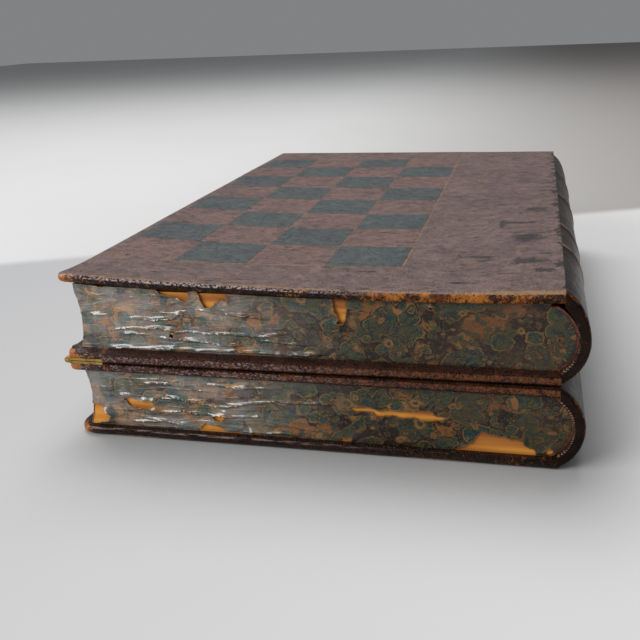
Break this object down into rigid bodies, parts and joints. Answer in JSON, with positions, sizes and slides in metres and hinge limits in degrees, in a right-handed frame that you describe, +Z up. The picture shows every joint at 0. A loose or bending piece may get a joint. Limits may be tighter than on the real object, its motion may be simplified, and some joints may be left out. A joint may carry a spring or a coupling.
{
  "type": "folding games box in book form",
  "caption": "Book-form folding games box: two leather-bound tray volumes hinged along their fore-edges, chess squares on the covers and a backgammon table inside.",
  "frame": {"origin": "centre of the closed box's footprint, on the surface it lies on", "axes": "+X from the hinged fore-edges to the rounded spines, +Y from the front end to the back end along the volumes, +Z up from the lower cover to the upper one"},
  "size_m": [0.2164, 0.342, 0.0697],
  "materials": {
    "board_wood": "dry, unfinished",
    "cover_leather": "worn, semi-matt",
    "square_leather": "worn, semi-matt",
    "tray_wood": "dry deal",
    "marbled_paper": "burnished marbled paper",
    "rim_leather": "worn, semi-matt",
    "tube_paper": "matt",
    "pasteboard": "matt",
    "spine_leather": "worn, semi-matt",
    "lining_leather": "semi-matt",
    "dark_point_leather": "semi-matt",
    "light_point_leather": "semi-matt",
    "hinge_brass": "dull, tarnished",
    "pin_brass": "dull, tarnished",
    "light_man_wood": "polished boxwood",
    "dark_man_wood": "polished, ebonised",
    "cup_leather": "semi-matt",
    "bone": "polished"
  },
  "bodies": {
    "lower_volume": {"back_dice_cup": "cup_leather", "back_hinge_lower_leaf": "hinge_brass", "back_hinge_pin": "pin_brass", "dark_men": "dark_man_wood", "dice": "bone", "front_dice_cup": "cup_leather", "front_hinge_lower_leaf": "hinge_brass", "front_hinge_pin": "pin_brass", "light_men": "light_man_wood", "lower_back_paper": "marbled_paper", "lower_back_wall": "tray_wood", "lower_cover_board": "board_wood", "lower_cover_leather": "cover_leather", "lower_dark_points": "dark_point_leather", "lower_dark_squares": "square_leather", "lower_fore_edge_paper": "marbled_paper", "lower_fore_edge_wall": "tray_wood", "lower_front_paper": "marbled_paper", "lower_front_wall": "tray_wood", "lower_light_points": "light_point_leather", "lower_rim_back_strip": "board_wood", "lower_rim_fore_strip": "board_wood", "lower_rim_front_strip": "board_wood", "lower_rim_leather": "rim_leather", "lower_rim_spine_strip": "board_wood", "lower_spine_board": "pasteboard", "lower_spine_leather": "spine_leather", "lower_spine_tube": "tube_paper", "lower_spine_wall": "tray_wood", "lower_tray_lining": "lining_leather"},
    "upper_volume": {"back_hinge_upper_leaf": "hinge_brass", "front_hinge_upper_leaf": "hinge_brass", "upper_back_paper": "marbled_paper", "upper_back_wall": "tray_wood", "upper_cover_board": "board_wood", "upper_cover_leather": "cover_leather", "upper_dark_points": "dark_point_leather", "upper_dark_squares": "square_leather", "upper_fore_edge_paper": "marbled_paper", "upper_fore_edge_wall": "tray_wood", "upper_front_paper": "marbled_paper", "upper_front_wall": "tray_wood", "upper_light_points": "light_point_leather", "upper_rim_back_strip": "board_wood", "upper_rim_fore_strip": "board_wood", "upper_rim_front_strip": "board_wood", "upper_rim_leather": "rim_leather", "upper_rim_spine_strip": "board_wood", "upper_spine_board": "pasteboard", "upper_spine_leather": "spine_leather", "upper_spine_tube": "tube_paper", "upper_spine_wall": "tray_wood", "upper_tray_lining": "lining_leather"}
  },
  "joints": [
    {"name": "fore_edge_hinge", "type": "hinge", "parent": "lower_volume", "child": "upper_volume", "pos_m": [-0.10695, 0, 0.03485], "axis": [0, -1, 0], "range_deg": [0, 180]}
  ]
}
